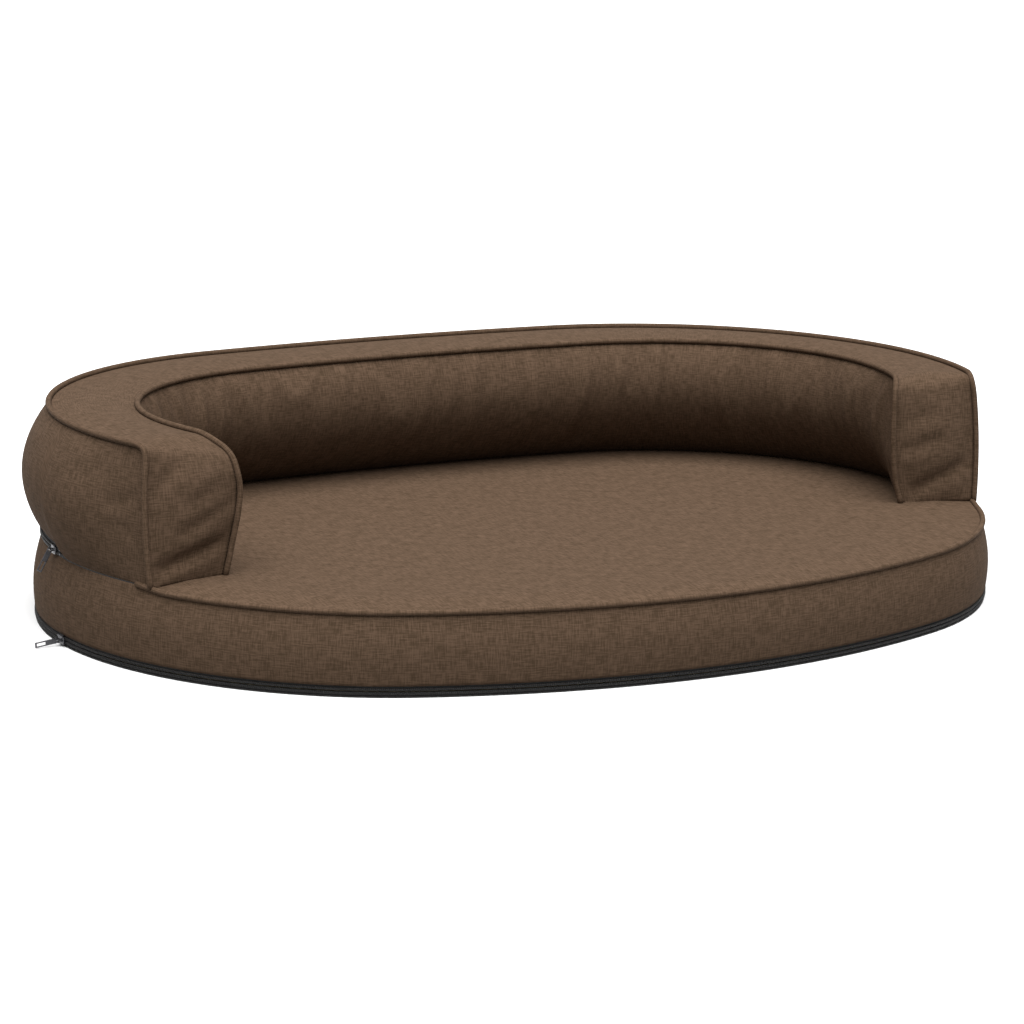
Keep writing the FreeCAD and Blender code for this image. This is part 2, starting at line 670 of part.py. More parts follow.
# Upper zip: it joins the bolster's outer panel to the base, from one end of the bolster to the other.
upper_tape, upper_coil = "dims.band_top_inset", "(dims.band_top_inset - dims.coil_radius)"
upper_stop = "(dims.upper_slider_angle + dims.stop_distance)"
end_turn = f"(180 deg + asin((dims.widest_line - {PANEL_END}) / ({SIDE_RADIUS} - {upper_coil})))"
beyond_stop = sector("beyond_stop", f"{upper_stop} - {HALF_STOP}", "90")
beyond_end = sector("beyond_end", end_turn, "90")
tape_rows = (
    ("lower", BAND_TOP, f"{UPPER_ZIP} - dims.tape_split / 2", "-dims.coil_spacing / 2"),
    ("upper", f"{UPPER_ZIP} + dims.tape_split / 2", UPPER_TAPE_TOP, "dims.coil_spacing / 2"),
)
for row, bottom, top, offset in tape_rows:
    tape = hoop(f"upper_zip_{row}_hoop", upper_tape, "dims.tape", bottom, top)
    strip = combined("Part::MultiCommon", f"upper_zip_{row}_strip", tape, behind_ends)
    subpart(strip, f"upper_zip_tape_{row}")
    half = coil(f"upper_zip_{row}_half", upper_coil, f"{UPPER_ZIP} + {offset}", LEFT_HALF)
    left = combined("Part::Cut", f"upper_zip_{row}_left", half, beyond_stop)
    longer = combined("Part::Cut", f"upper_zip_{row}_longer", half, beyond_end)
    right = mirrored(f"upper_zip_{row}_right", longer)
    subpart(combined("Part::MultiFuse", f"upper_zip_{row}_chain", left, right), f"upper_zip_coil_{row}")
slider_and_pull("upper", upper_tape, UPPER_ZIP, "dims.upper_slider_angle", "dims.upper_pull_angle")
zip_stops("upper", upper_coil, UPPER_ZIP, upper_stop)

# Lower zip: it joins the side band to the underside, all round the foot of the base.
lower_tape, lower_coil = "dims.lower_zip_inset", "(dims.lower_zip_inset - dims.coil_radius)"
lower_stop = "(dims.lower_slider_angle - dims.stop_distance)"
lower_gap = sector("lower_gap", f"{lower_stop} - {HALF_STOP}", f"2 * {HALF_STOP}")
tape_foot, split = "dims.underside_cloth + dims.cloth_gap", "dims.tape_split / 2"
tape_rows = (
    ("lower", tape_foot, f"{LOWER_ZIP} - {split}", "-dims.coil_spacing / 2"),
    ("upper", f"{LOWER_ZIP} + {split}", LOWER_TAPE_TOP, "dims.coil_spacing / 2"),
)
for row, bottom, top, offset in tape_rows:
    tape = hoop(f"lower_zip_{row}_hoop", lower_tape, "dims.tape", bottom, top)
    subpart(tape, f"lower_zip_tape_{row}")
    ring = coil(f"lower_zip_{row}_ring", lower_coil, f"{LOWER_ZIP} + {offset}", ALL_ROUND)
    subpart(combined("Part::Cut", f"lower_zip_{row}_chain", ring, lower_gap), f"lower_zip_coil_{row}")
slider_and_pull("lower", lower_tape, LOWER_ZIP, "dims.lower_slider_angle", "dims.lower_pull_angle")
zip_stops("lower", lower_coil, LOWER_ZIP, lower_stop)

doc.recompute()
for obj in doc.Objects:
    if "Invalid" in obj.State or "Error" in obj.State:
        raise RuntimeError(f"{obj.Label} failed: {obj.State}")
for obj in SUBPARTS:
    if obj.Shape.isNull() or not obj.Shape.isValid() or not obj.Shape.Solids:
        raise RuntimeError(f"{obj.Label} has no sound shape")

os.makedirs("parts", exist_ok=True)
for obj in SUBPARTS:
    obj.Shape.exportStep(f"parts/{obj.Label}.step")
    print(obj.Label, len(obj.Shape.Solids), round(obj.Shape.Volume))
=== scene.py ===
import json
import math

import bmesh
import bpy
from mathutils import Matrix, Vector, noise


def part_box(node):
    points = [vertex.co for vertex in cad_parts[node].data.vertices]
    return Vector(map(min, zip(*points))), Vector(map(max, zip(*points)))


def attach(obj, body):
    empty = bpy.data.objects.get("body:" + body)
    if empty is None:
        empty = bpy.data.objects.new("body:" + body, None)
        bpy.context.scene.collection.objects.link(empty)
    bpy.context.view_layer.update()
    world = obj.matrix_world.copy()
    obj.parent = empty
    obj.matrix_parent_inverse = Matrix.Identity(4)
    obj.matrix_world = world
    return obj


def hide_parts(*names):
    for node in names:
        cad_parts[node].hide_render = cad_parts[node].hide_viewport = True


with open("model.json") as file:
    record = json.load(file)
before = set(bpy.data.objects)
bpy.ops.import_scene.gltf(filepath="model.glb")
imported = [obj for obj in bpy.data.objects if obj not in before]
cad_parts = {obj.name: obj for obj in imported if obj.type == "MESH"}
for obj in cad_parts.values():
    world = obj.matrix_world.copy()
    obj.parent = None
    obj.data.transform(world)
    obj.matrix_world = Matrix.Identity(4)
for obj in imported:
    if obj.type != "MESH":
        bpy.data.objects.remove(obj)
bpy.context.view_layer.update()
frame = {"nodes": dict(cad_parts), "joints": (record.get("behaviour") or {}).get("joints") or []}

# The plan of the bed: an oval of four tangent arcs, the way its paper pattern is drawn.
# Every panel, piping and zip is laid out by its distance along this line and its inset from it.
half_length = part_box("lower_zip_coil_lower")[1][0]
half_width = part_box("lower_zip_coil_lower")[1][1]
joints = {joint["name"]: joint for joint in frame["joints"]}
side_centre = joints["upper_slider_travel"]["pos_m"]
side_x, side_y = -side_centre[0], side_centre[1]
side_radius = half_length - side_x
rise = side_y - half_width
back_radius = (side_radius**2 - side_x**2 - rise**2) / (2 * (rise + side_radius))
drop = side_y + half_width
front_radius = (side_x**2 + drop**2 - side_radius**2) / (2 * (drop - side_radius))
back_turn = math.atan2(side_x, side_y - half_width + back_radius)
front_turn = math.atan2(side_x, front_radius - half_width - side_y)
side_turn = math.pi - back_turn - front_turn
back_run = back_radius * back_turn
side_run = side_radius * side_turn
half_round = back_run + side_run + front_radius * front_turn


def plan(run, inset=0.0):
    """Point of the oval at a run from the middle of the back (left is negative), and its outward normal."""
    far = abs(run)
    if far < back_run:
        turn, centre, radius = far / back_radius, (0, half_width - back_radius), back_radius
    elif far < back_run + side_run:
        turn = back_turn + (far - back_run) / side_radius
        centre, radius = (side_x, side_y), side_radius
    else:
        turn = back_turn + side_turn + (far - back_run - side_run) / front_radius
        centre, radius = (0, front_radius - half_width), front_radius
    side = -1 if run < 0 else 1
    x = centre[0] + (radius - inset) * math.sin(turn)
    y = centre[1] + (radius - inset) * math.cos(turn)
    return side * x, y, Vector((side * math.sin(turn), math.cos(turn), 0))


def turn_at(run):
    """How far the outline has turned, in radians, from the middle of the back."""
    _, _, normal = plan(run)
    return math.atan2(abs(normal.x), normal.y)


# Floor, light and camera: a pale sweep under a very broad, soft light from above, as in a daylight studio.
def new_finish(name):
    """New material, with its node tree and its main shader."""
    material = bpy.data.materials.new(name)
    material.use_nodes = True
    return material, material.node_tree, material.node_tree.nodes["Principled BSDF"]


bpy.ops.object.select_all(action="DESELECT")
bpy.ops.mesh.primitive_plane_add(size=40, location=(0, 0, 0))
floor = bpy.context.object
floor.name = "studio_floor"
floor_paint, _, floor_shader = new_finish("matt_white_backdrop")
floor_shader.inputs["Base Color"].default_value = (0.95, 0.95, 0.95, 1)
floor_shader.inputs["Roughness"].default_value = 0.9
floor.data.materials.append(floor_paint)
floor.visible_diffuse = False

world = bpy.data.worlds.new("studio")
bpy.context.scene.world = world
world.use_nodes = True
backdrop = world.node_tree.nodes["Background"]
backdrop.inputs["Color"].default_value = (1, 1, 1, 1)
backdrop.inputs["Strength"].default_value = 0.36
overhead = bpy.data.lights.new("overhead_light", "SUN")
overhead.energy = 5.3
overhead.angle = math.radians(70)
overhead_holder = bpy.data.objects.new("overhead_light", overhead)
bpy.context.collection.objects.link(overhead_holder)
LIGHT_DIRECTION = (0.16, 0.30, -1)
overhead_holder.rotation_euler = Vector(LIGHT_DIRECTION).to_track_quat("-Z", "Y").to_euler()

CAMERA_PLACE = (-1.8011, -2.9783, 0.8303)
CAMERA_AZIMUTH, CAMERA_ELEVATION, CAMERA_ROLL = -30.92, 12.20, 1.41
lens = bpy.data.cameras.new("camera")
lens.lens = 141.8
lens.clip_end = 100
camera = bpy.data.objects.new("camera", lens)
bpy.context.collection.objects.link(camera)
heading = Matrix.Rotation(math.radians(CAMERA_AZIMUTH), 4, "Z")
tilt = Matrix.Rotation(math.radians(90 - CAMERA_ELEVATION), 4, "X")
roll = Matrix.Rotation(math.radians(CAMERA_ROLL), 4, "Z")
camera.matrix_world = Matrix.Translation(CAMERA_PLACE) @ heading @ tilt @ roll
bpy.context.scene.camera = camera
bpy.context.scene.view_settings.view_transform = "Standard"


# Base cushion: a foam slab in a cover of melange polyester, cut as a seat panel, a side band and an
# underside. They are sewn edge to edge, and the foam pushes the band out a little between its seams.
def grid(bm, columns, rows, place, panel):
    """Add a patch of quads. place(c, r) gives a vertex and its spot on the flat cloth, in metres."""
    spots = [[place(c, r) for r in range(rows + 1)] for c in range(columns + 1)]
    corners = [[bm.verts.new(spot[0]) for spot in column] for column in spots]
    cloth = bm.loops.layers.uv.get("UVMap") or bm.loops.layers.uv.new("UVMap")
    for c in range(columns):
        for r in range(rows):
            square = ((c, r), (c + 1, r), (c + 1, r + 1), (c, r + 1))
            face = bm.faces.new([corners[i][j] for i, j in square])
            face.material_index = panel
            face.smooth = True
            for corner, (i, j) in zip(face.loops, square):
                corner[cloth].uv = spots[i][j][1]


SEAM_CREASE = 0.75
SEAM_MERGE = 0.0002


def finish_mesh(bm, name, material, merge=SEAM_MERGE):
    """Close the seams of a new mesh, turn its faces outwards and make it an object.

    Its panels are numbered, and the seams between them stay crisp when it is rounded off.
    """
    bmesh.ops.remove_doubles(bm, verts=bm.verts, dist=merge)
    bmesh.ops.recalc_face_normals(bm, faces=bm.faces)
    crease = bm.edges.layers.float.new("crease_edge")
    for edge in bm.edges:
        if len({face.material_index for face in edge.link_faces}) > 1:
            edge[crease] = SEAM_CREASE
    for face in bm.faces:
        face.material_index = 0
    mesh = bpy.data.meshes.new(name)
    bm.to_mesh(mesh)
    bm.free()
    piece = bpy.data.objects.new(name, mesh)
    bpy.context.collection.objects.link(piece)
    mesh.materials.append(material)
    return piece


def linear(code):
    """Linear colour of an sRGB hex value."""
    parts = [int(code[i : i + 2], 16) / 255 for i in (0, 2, 4)]
    return [p / 12.92 if p <= 0.04045 else ((p + 0.055) / 1.055) ** 2.4 for p in parts] + [1]


def add_node(tree, kind, settings=None, **links):
    """Add a shader node. A link is another node's output, and anything else is a value."""
    node = tree.nodes.new(kind)
    for key, value in (settings or {}).items():
        setattr(node, key, value)
    for key, value in links.items():
        socket = node.inputs[int(key[1:])] if key[1:].isdigit() else node.inputs[key.replace("_", " ")]
        if isinstance(value, bpy.types.NodeSocket):
            tree.links.new(value, socket)
        else:
            socket.default_value = value
    return node


# Slubs are 1 mm wide and 10 mm long. Threads are 1.2 mm apart, twice the real pitch, so that they show.
SLUBS_ACROSS, SLUBS_ALONG, THREADS, CLOUDS = 950, 95, 260.0, 70.0


def melange_cloth(name, light, dark):
    """Melange woven polyester: matt, with fine slubs of lighter and darker yarn across and along."""
    material, tree, shader = new_finish(name)
    cloth = add_node(tree, "ShaderNodeUVMap", {"uv_map": "UVMap"}).outputs[0]
    slubs = []
    for stretch in ((SLUBS_ALONG, SLUBS_ACROSS, 1), (SLUBS_ACROSS, SLUBS_ALONG, 1)):
        spread = add_node(tree, "ShaderNodeMapping", i0=cloth, i3=stretch).outputs[0]
        slubs.append(add_node(tree, "ShaderNodeTexNoise", Vector=spread, Scale=1.0, Detail=2.0).outputs[0])
    mixed = add_node(tree, "ShaderNodeMath", {"operation": "ADD"}, i0=slubs[0], i1=slubs[1]).outputs[0]
    cloudy = add_node(tree, "ShaderNodeTexNoise", Vector=cloth, Scale=CLOUDS, Detail=4.0).outputs[0]
    multiply_add = {"operation": "MULTIPLY_ADD"}
    tone = add_node(tree, "ShaderNodeMath", multiply_add, i0=cloudy, i1=0.35, i2=mixed).outputs[0]
    share = add_node(tree, "ShaderNodeMapRange", Value=tone, From_Min=0.98, From_Max=1.37).outputs[0]
    colour = add_node(
        tree, "ShaderNodeMix", {"data_type": "RGBA"}, Factor=share, i6=linear(dark), i7=linear(light)
    ).outputs[2]
    tree.links.new(colour, shader.inputs["Base Color"])
    shader.inputs["Roughness"].default_value = 0.92
    shader.inputs["Sheen Weight"].default_value = 0.04
    shader.inputs["Sheen Roughness"].default_value = 0.5
    shader.inputs["Sheen Tint"].default_value = linear(light)
    shader.inputs["Specular IOR Level"].default_value = 0.12
    thread = []
    for direction in ("X", "Y"):
        bands = {"bands_direction": direction}
        wave = add_node(tree, "ShaderNodeTexWave", bands, Vector=cloth, Scale=THREADS, Distortion=0.6)
        thread.append(wave.outputs["Fac"])
    weave = add_node(tree, "ShaderNodeMath", {"operation": "MULTIPLY"}, i0=thread[0], i1=thread[1]).outputs[0]
    relief = add_node(tree, "ShaderNodeMath", multiply_add, i0=weave, i1=0.5, i2=mixed).outputs[0]
    bump = add_node(tree, "ShaderNodeBump", Strength=0.3, Distance=0.0004, Height=relief)
    tree.links.new(bump.outputs[0], shader.inputs["Normal"])
    return material


cover_cloth = melange_cloth("dark_brown_melange_polyester", "5e4b3c", "463729")


def inflate(piece, weights, pressure, cap, frames):
    """Cloth simulation of a stuffed cover, whose points move by no more than the cap.

    weights(co) gives how firmly a point is held and how much the cloth there grows. Seams are held
    while the panels between them, cut a little large, swell and pucker.
    """
    held = piece.vertex_groups.new(name="held")
    full = piece.vertex_groups.new(name="full")
    for vertex in piece.data.vertices:
        hold, growth = weights(vertex.co)
        held.add([vertex.index], hold, "REPLACE")
        full.add([vertex.index], growth, "REPLACE")
    start = [v.co.copy() for v in piece.data.vertices]
    cloth = piece.modifiers.new("Cloth", "CLOTH")
    settings = cloth.settings
    settings.quality = 5
    settings.mass = 0.3
    settings.tension_stiffness = settings.compression_stiffness = 12
    settings.shear_stiffness = 6
    settings.bending_stiffness = 0.05
    settings.vertex_group_mass = "held"
    settings.pin_stiffness = 10
    settings.vertex_group_shrink = "full"
    settings.shrink_min, settings.shrink_max = 0, -0.035
    settings.use_pressure = True
    settings.uniform_pressure_force = pressure
    settings.effector_weights.gravity = 0
    cloth.collision_settings.use_collision = False
    scene = bpy.context.scene
    for step in range(1, frames + 1):
        scene.frame_set(step)
    swollen = piece.evaluated_get(bpy.context.evaluated_depsgraph_get()).data
    for vertex, before, after in zip(piece.data.vertices, start, swollen.vertices):
        move = after.co - before
        if move.length > cap:
            move *= cap / move.length
        vertex.co = before + move
    piece.modifiers.remove(cloth)
    scene.frame_set(1)


def subdivide(piece, levels=1):
    """Round off a finished mesh with a subdivision surface."""
    rounding = piece.modifiers.new("Subdivision", "SUBSURF")
    rounding.levels = rounding.render_levels = levels
    with bpy.context.temp_override(object=piece, active_object=piece, selected_objects=[piece]):
        bpy.ops.object.modifier_apply(modifier=rounding.name)


end_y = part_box("bolster_top_strip")[0][1]
seat_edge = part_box("seat_panel")[1][2] + 0.0005
band_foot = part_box("base_side_band")[0][2]
zip_height = side_centre[2]
seam_inset, band_foot_inset = 0.0064, 0.0004
band_belly, seat_crown = 0.0024, 0.0030
seat_top = seat_edge + seat_crown
QUARTER = 105
AROUND = 4 * QUARTER


def run_to_end(inset, lean=0.0):
    """Distance from the middle of the back to the plane of the bolster's ends, for a line at an inset."""
    turn = math.acos((end_y - lean - side_y) / (side_radius - inset))
    return back_run + side_radius * (turn - back_turn)


def ease(value):
    """Smooth step from 0 to 1."""
    value = min(1.0, max(0.0, value))
    return value * value * (3 - 2 * value)


def edge_height(run):
    """Height of the seat's seam. The bolster's own cover pulls it up where the two are zipped together."""
    pull_up, past_end, fade = 0.0033, 0.034, 0.04
    return seat_edge + pull_up * ease((run_to_end(seam_inset) + past_end - abs(run)) / fade)


def base_shape():
    """Seat, side band and underside of the base, before it is filled."""
    bm = bmesh.new()
    step = 2 * half_round / AROUND
    band_rows, rim_rows, rim_width = 12, 6, 0.020

    def band(c, r):
        run = -half_round + c * step
        share = r / band_rows
        height = band_foot + (edge_height(run) - band_foot) * share
        slant = band_foot_inset + (seam_inset - band_foot_inset) * share**2
        x, y, _ = plan(run, slant - band_belly * math.sin(math.pi * share))
        return (x, y, height), (run, height)

    def rim(c, r):
        run = -half_round + c * step
        share = r / rim_rows
        x, y, _ = plan(run, seam_inset + rim_width * share)
        edge = edge_height(run)
        return (x, y, edge + (seat_top - edge) * math.sin(share * math.pi / 2)), (x, y)

    def oval_patch(inset, height):
        """Square grid stretched over an oval, so that the cloth has no pole."""
        ring = [Vector(plan(-half_round + k * step, inset)[:2]) for k in range(AROUND)]

        def place(c, r):
            u, v = c / QUARTER, r / QUARTER
            start = QUARTER // 2
            near, far = ring[(start + c) % AROUND], ring[(start + 3 * QUARTER - c) % AROUND]
            left, right = ring[(start + 4 * QUARTER - r) % AROUND], ring[(start + QUARTER + r) % AROUND]
            a, b, c, d = (ring[(start + k * QUARTER) % AROUND] for k in range(4))
            spot = near * (1 - v) + far * v + left * (1 - u) + right * u
            spot -= a * (1 - u) * (1 - v) + b * u * (1 - v) + c * u * v + d * (1 - u) * v
            return (*spot, height), tuple(spot)

        return place

    grid(bm, AROUND, band_rows, band, 0)
    grid(bm, AROUND, rim_rows, rim, 1)
    grid(bm, QUARTER, QUARTER, oval_patch(seam_inset + rim_width, seat_top), 1)
    grid(bm, QUARTER, QUARTER, oval_patch(band_foot_inset, band_foot), 2)
    return finish_mesh(bm, "base_cover", cover_cloth)


def run_of(co):
    """Distance along the outline of the point of it that is nearest to a place."""
    side, x = math.copysign(1, co.x), abs(co.x)
    turn = math.atan2(x, co.y - half_width + back_radius)
    if turn < back_turn:
        return side * back_radius * turn
    turn = math.atan2(x - side_x, co.y - side_y)
    if x > side_x and turn < back_turn + side_turn:
        return side * (back_run + side_radius * (turn - back_turn))
    turn = math.atan2(x, co.y + half_width - front_radius)
    return side * (back_run + side_run + front_radius * (turn - back_turn - side_turn))


def base_weights(co):
    """The seam and the underside are held. The rest of the cover is a touch full."""
    near, growth = 0.0004, 0.25
    x, y, _ = plan(run_of(co), seam_inset)
    on_seam = co.z > seat_edge / 2 and math.hypot(co.x - x, co.y - y) < near
    on_floor_side = co.z < band_foot + 0.0001
    return (1.0 if on_seam or on_floor_side else 0.0), growth


base_cover = base_shape()
inflate(base_cover, base_weights, pressure=0.5, cap=0.0015, frames=14)
subdivide(base_cover)
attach(base_cover, "bed")
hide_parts("seat_panel", "base_side_band")


# Bolster: a U-shaped cushion of loose fibre. Its cover is an outer panel, an inner panel and a top strip that
# turns down over both ends. Piping stiffens the seams, and the cloth puckers and swells between them.
seam_z = (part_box("bolster_outer_piping")[1][2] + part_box("bolster_outer_panel")[1][2]) / 2
bolster_foot = seat_top + 0.0008
panel_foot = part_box("bolster_outer_panel")[0][2]
middle_inset = 0.045
SECTION = {
    # line: inset at the sides, at the middle of the back, and at the two ends
    "outer_seam": (0.0110, 0.0235, 0.0110),
    "inner_seam": (0.0823, 0.1050, 0.0823),
    "inner_belly": (0.0900, 0.1150, 0.0850),
    "inner_foot": (0.0430, 0.0630, 0.0760),
}
LONG, WALL_ROWS, TOP_ROWS, BOTTOM_ROWS = 300, 22, 14, 8
END_BLEND = 0.11
upper_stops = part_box("upper_zip_stops")
stop_place = run_of((Vector(upper_stops[0]) + Vector(upper_stops[1])) / 2)


def near_end(run):
    """0 along the bolster, and 1 at its ends."""
    return ease(1 - (run_to_end(middle_inset) - abs(run)) / END_BLEND)


def line_inset(line, run):
    """Inset of a named line of the bolster, which leans inwards more at the back than at the sides."""
    at_side, at_back, at_end = SECTION[line]
    inset = at_back + (at_side - at_back) * ease(turn_at(run) / (math.pi / 2))
    return inset + (at_end - inset) * near_end(run)


def outer_foot(run):
    """Height of the outer panel's lower edge: over the zip, and down on the base where the zip stops."""
    left_start, right_start, fade = stop_place + 0.003, run_to_end(seam_inset) - 0.020, 0.014
    over_zip, at_end = 0.0080, 0.0015
    past_zip = left_start - run if run < 0 else run - right_start
    return panel_foot - over_zip * ease(past_zip / fade) - at_end * near_end(run) ** 6


def corner_radius(run, inset):
    """How round the top edge of an end face is: tight at the outer piping, looser at the inner one."""
    first, last = SECTION["outer_seam"][2], SECTION["inner_seam"][2]
    share = min(1.0, max(0.0, (inset - first) / (last - first)))
    outer, inner, between = 0.006, 0.036 if run < 0 else 0.013, 0.008
    return outer + (inner - outer) * share + between * math.sin(math.pi * share)


def end_lean(inset, height):
    """How far the foot of an end reaches forward of its top: most at the outer corner."""
    outwards = 1 - min(1.0, max(0.0, (inset - seam_inset) / SECTION["inner_foot"][2]))
    at_top, more_below = 0.003, 0.010
    return (at_top + more_below * (seam_z - height) / (seam_z - bolster_foot)) * outwards


def bolster_spot(way, line, height):
    """Place a point of the bolster. way runs from -1 at the left end to 1 at the right end."""
    far = run_to_end(middle_inset)
    run = way * far
    lean = end_lean(line(run), height)
    run += math.copysign(abs(way) ** 8, way) * (run_to_end(line(run), lean) - far)
    inset = line(run)
    x, y, _ = plan(run, inset)
    radius = corner_radius(run, inset)
    face_y = end_y - lean
    behind, below = y - face_y, seam_z - height
    if behind < radius and below < radius and abs(way) > 0.8:
        a, b = 1 - behind / radius, 1 - below / radius
        fit = max(a, b) / math.hypot(a, b)
        y, height = face_y + radius * (1 - a * fit), seam_z - radius * (1 - b * fit)
    return Vector((x, y, height)), run, inset


# Creases of the outer panel: side, where it starts behind the end and how high, where it stops and how high,
# its width and its depth. Heights and widths are shares of the panel, and the rest is in metres.
OUTER_CREASES = (
    (-1, 0.002, 0.66, 0.055, 0.52, 0.05, -0.0022),
    (-1, 0.004, 0.36, 0.045, 0.42, 0.06, -0.0012),
    (-1, 0.030, 0.78, 0.120, 0.70, 0.07, -0.0012),
    (1, 0.002, 0.70, 0.060, 0.55, 0.06, -0.0020),
)
OUTER_PUFF, END_PUFF, GATHER_DEPTH = 0.0205, 0.006, 0.0032


def outer_panel(c, r):
    """Outer panel, from the zip up to the outer piping."""
    share = r / WALL_ROWS

    def line(run):
        crease = 0.0
        for side, near, low, far, high, width, dent in OUTER_CREASES:
            if side * run > 0:
                behind = run_to_end(0.03) - abs(run)
                across = (behind - near) / (far - near)
                gap = (share - (low + (high - low) * across)) / width
                crease += dent * math.exp(-gap * gap) * ease(across * 4) * ease((1 - across) * 3)
        puff = crease + OUTER_PUFF * (1 - 0.85 * near_end(run)) * math.sin(math.pi * share) ** 0.8
        return seam_inset + (line_inset("outer_seam", run) - seam_inset) * share - puff

    run = (2 * c / LONG - 1) * run_to_end(middle_inset)
    foot = outer_foot(run)
    spot, run, _ = bolster_spot(2 * c / LONG - 1, line, foot + (seam_z - foot) * share)
    return spot, (run, share * (seam_z - foot))


def top_strip(c, r):
    """Top strip, from the outer to the inner piping, a little crowned."""
    share, crown = r / TOP_ROWS, 0.003

    def line(run):
        start, end = line_inset("outer_seam", run), line_inset("inner_seam", run)
        return start + (end - start) * share

    spot, run, inset = bolster_spot(2 * c / LONG - 1, line, seam_z + crown * math.sin(math.pi * share))
    return spot, (run, inset)


def inner_panel(c, r):
    """Inner panel, from the inner piping down to the seat, gathered a little along its top seam."""
    share, cloth_length = r / WALL_ROWS, 0.125

    def line(run):
        start, end = line_inset("inner_seam", run), line_inset("inner_foot", run)
        belly = line_inset("inner_belly", run) - (start + end) / 2
        fine = noise.noise(Vector((run * 48, share * 1.2, 3)))
        broad = noise.noise(Vector((run * 17, share, 9)))
        gathers = (1 - abs(fine)) ** 4 * 0.9 + (1 - abs(broad)) ** 6 * 1.6
        depth = GATHER_DEPTH * gathers * math.sin(math.pi * share) ** 0.6 * (1.25 - share)
        return start + (end - start) * share + belly * math.sin(math.pi * share) ** 0.9 + depth

    spot, run, _ = bolster_spot(2 * c / LONG - 1, line, seam_z + (bolster_foot - seam_z) * share)
    return spot, (run, share * cloth_length)


def under_panel(c, r):
    """The bolster's underside, which lies on the seat."""
    share = r / BOTTOM_ROWS

    def line(run):
        return seam_inset + (line_inset("inner_foot", run) - seam_inset) * share

    run = (2 * c / LONG - 1) * run_to_end(middle_inset)
    height = bolster_foot + (outer_foot(run) - bolster_foot) * (1 - share) ** 3
    spot, run, inset = bolster_spot(2 * c / LONG - 1, line, height)
    return spot, (run, inset)


def end_panel(side):
    """The top strip's turned-down end, seamed to both panels and soft between its pipings."""
    column = LONG if side > 0 else 0
    cloth_width, cloth_length = 0.07, 0.115

    def place(c, r):
        across, down = c / TOP_ROWS, r / WALL_ROWS
        spot = outer_panel(column, WALL_ROWS - r)[0].lerp(inner_panel(column, r)[0], across)
        straight = outer_panel(column, WALL_ROWS)[0].lerp(inner_panel(column, 0)[0], across)
        spot += (top_strip(column, c)[0] - straight) * max(0.0, 1 - down * 3)
        puff = END_PUFF * math.sin(math.pi * across) * math.sin(math.pi * down) ** 0.7
        for start, end, width, depth in END_FOLDS[side]:
            start, end = Vector(start), Vector(end)
            along = (end - start).normalized()
            off = Vector((across, down)) - start
            gap = abs(off.x * along.y - off.y * along.x)
            reach = off.dot(along) / (end - start).length
            inside = ease(reach * 5) * ease((1 - reach) * 5) * math.sin(math.pi * across) ** 0.5
            puff -= depth * math.exp(-((gap / width) ** 2)) * inside
        flat = (side * (run_to_end(middle_inset) + down * cloth_length), across * cloth_width)
        return spot - Vector((0, puff, 0)), flat

    return place


END_FOLDS = {
    # side: folds of the end's cloth as start, end (across, down), width and depth
    -1: (
        ((-0.05, 0.92), (1.05, 0.72), 0.050, 0.0065),
        ((0.30, 0.66), (1.05, 0.44), 0.050, 0.0030),
        ((-0.05, 0.40), (0.45, 0.10), 0.060, 0.0030),
        ((0.35, 0.48), (0.95, 0.26), 0.045, 0.0018),
    ),
    1: (
        ((0.95, 0.95), (0.00, 0.66), 0.050, 0.0050),
        ((1.05, 0.60), (0.35, 0.46), 0.045, 0.0026),
        ((1.05, 0.34), (0.45, 0.28), 0.040, 0.0020),
    ),
}


def bolster_shape():
    """Cover of the bolster, before it is stuffed: seams in their places, panels nearly flat."""
    bm = bmesh.new()
    grid(bm, LONG, WALL_ROWS, outer_panel, 0)
    grid(bm, LONG, TOP_ROWS, top_strip, 1)
    grid(bm, LONG, WALL_ROWS, inner_panel, 2)
    grid(bm, LONG, BOTTOM_ROWS, under_panel, 3)
    for side in (-1, 1):
        grid(bm, TOP_ROWS, WALL_ROWS, end_panel(side), 1)
    bmesh.ops.remove_doubles(bm, verts=bm.verts, dist=SEAM_MERGE)
    gaps = [edge for edge in bm.edges if edge.is_boundary]
    if gaps:
        bmesh.ops.holes_fill(bm, edges=gaps, sides=0)
    return finish_mesh(bm, "bolster_cover", cover_cloth)


bolster_cover = bolster_shape()


def tenths(co):
    """A place to the nearest tenth of a millimetre."""
    return tuple(round(value, 4) for value in co)


SEAMS = set()
for column in range(LONG + 1):
    for panel, row in ((outer_panel, WALL_ROWS), (top_strip, TOP_ROWS), (outer_panel, 0)):
        SEAMS.add(tenths(panel(column, row)[0]))
for row in range(WALL_ROWS + 1):
    for column in (0, LONG):
        for panel in (outer_panel, inner_panel):
            SEAMS.add(tenths(panel(column, row)[0]))


def bolster_weights(co):
    """Seams and underside are held. The inner panel is cut fuller than the rest."""
    underside, inner_side, below_seam = bolster_foot + 0.0015, -0.02, seam_z - 0.002
    held = tenths(co) in SEAMS or co.z < underside
    run = run_of(co)
    x, y, normal = plan(run, (line_inset("outer_seam", run) + line_inset("inner_seam", run)) / 2)
    inside = normal.dot(co - Vector((x, y, co.z))) < inner_side
    return (1.0 if held else 0.0), (0.8 if inside and co.z < below_seam else 0.5)


inflate(bolster_cover, bolster_weights, pressure=0.9, cap=0.006, frames=16)
subdivide(bolster_cover)
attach(bolster_cover, "bed")
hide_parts("bolster_outer_panel", "bolster_inner_panel", "bolster_top_strip")
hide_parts("bolster_fill", "bolster_inner_bag")


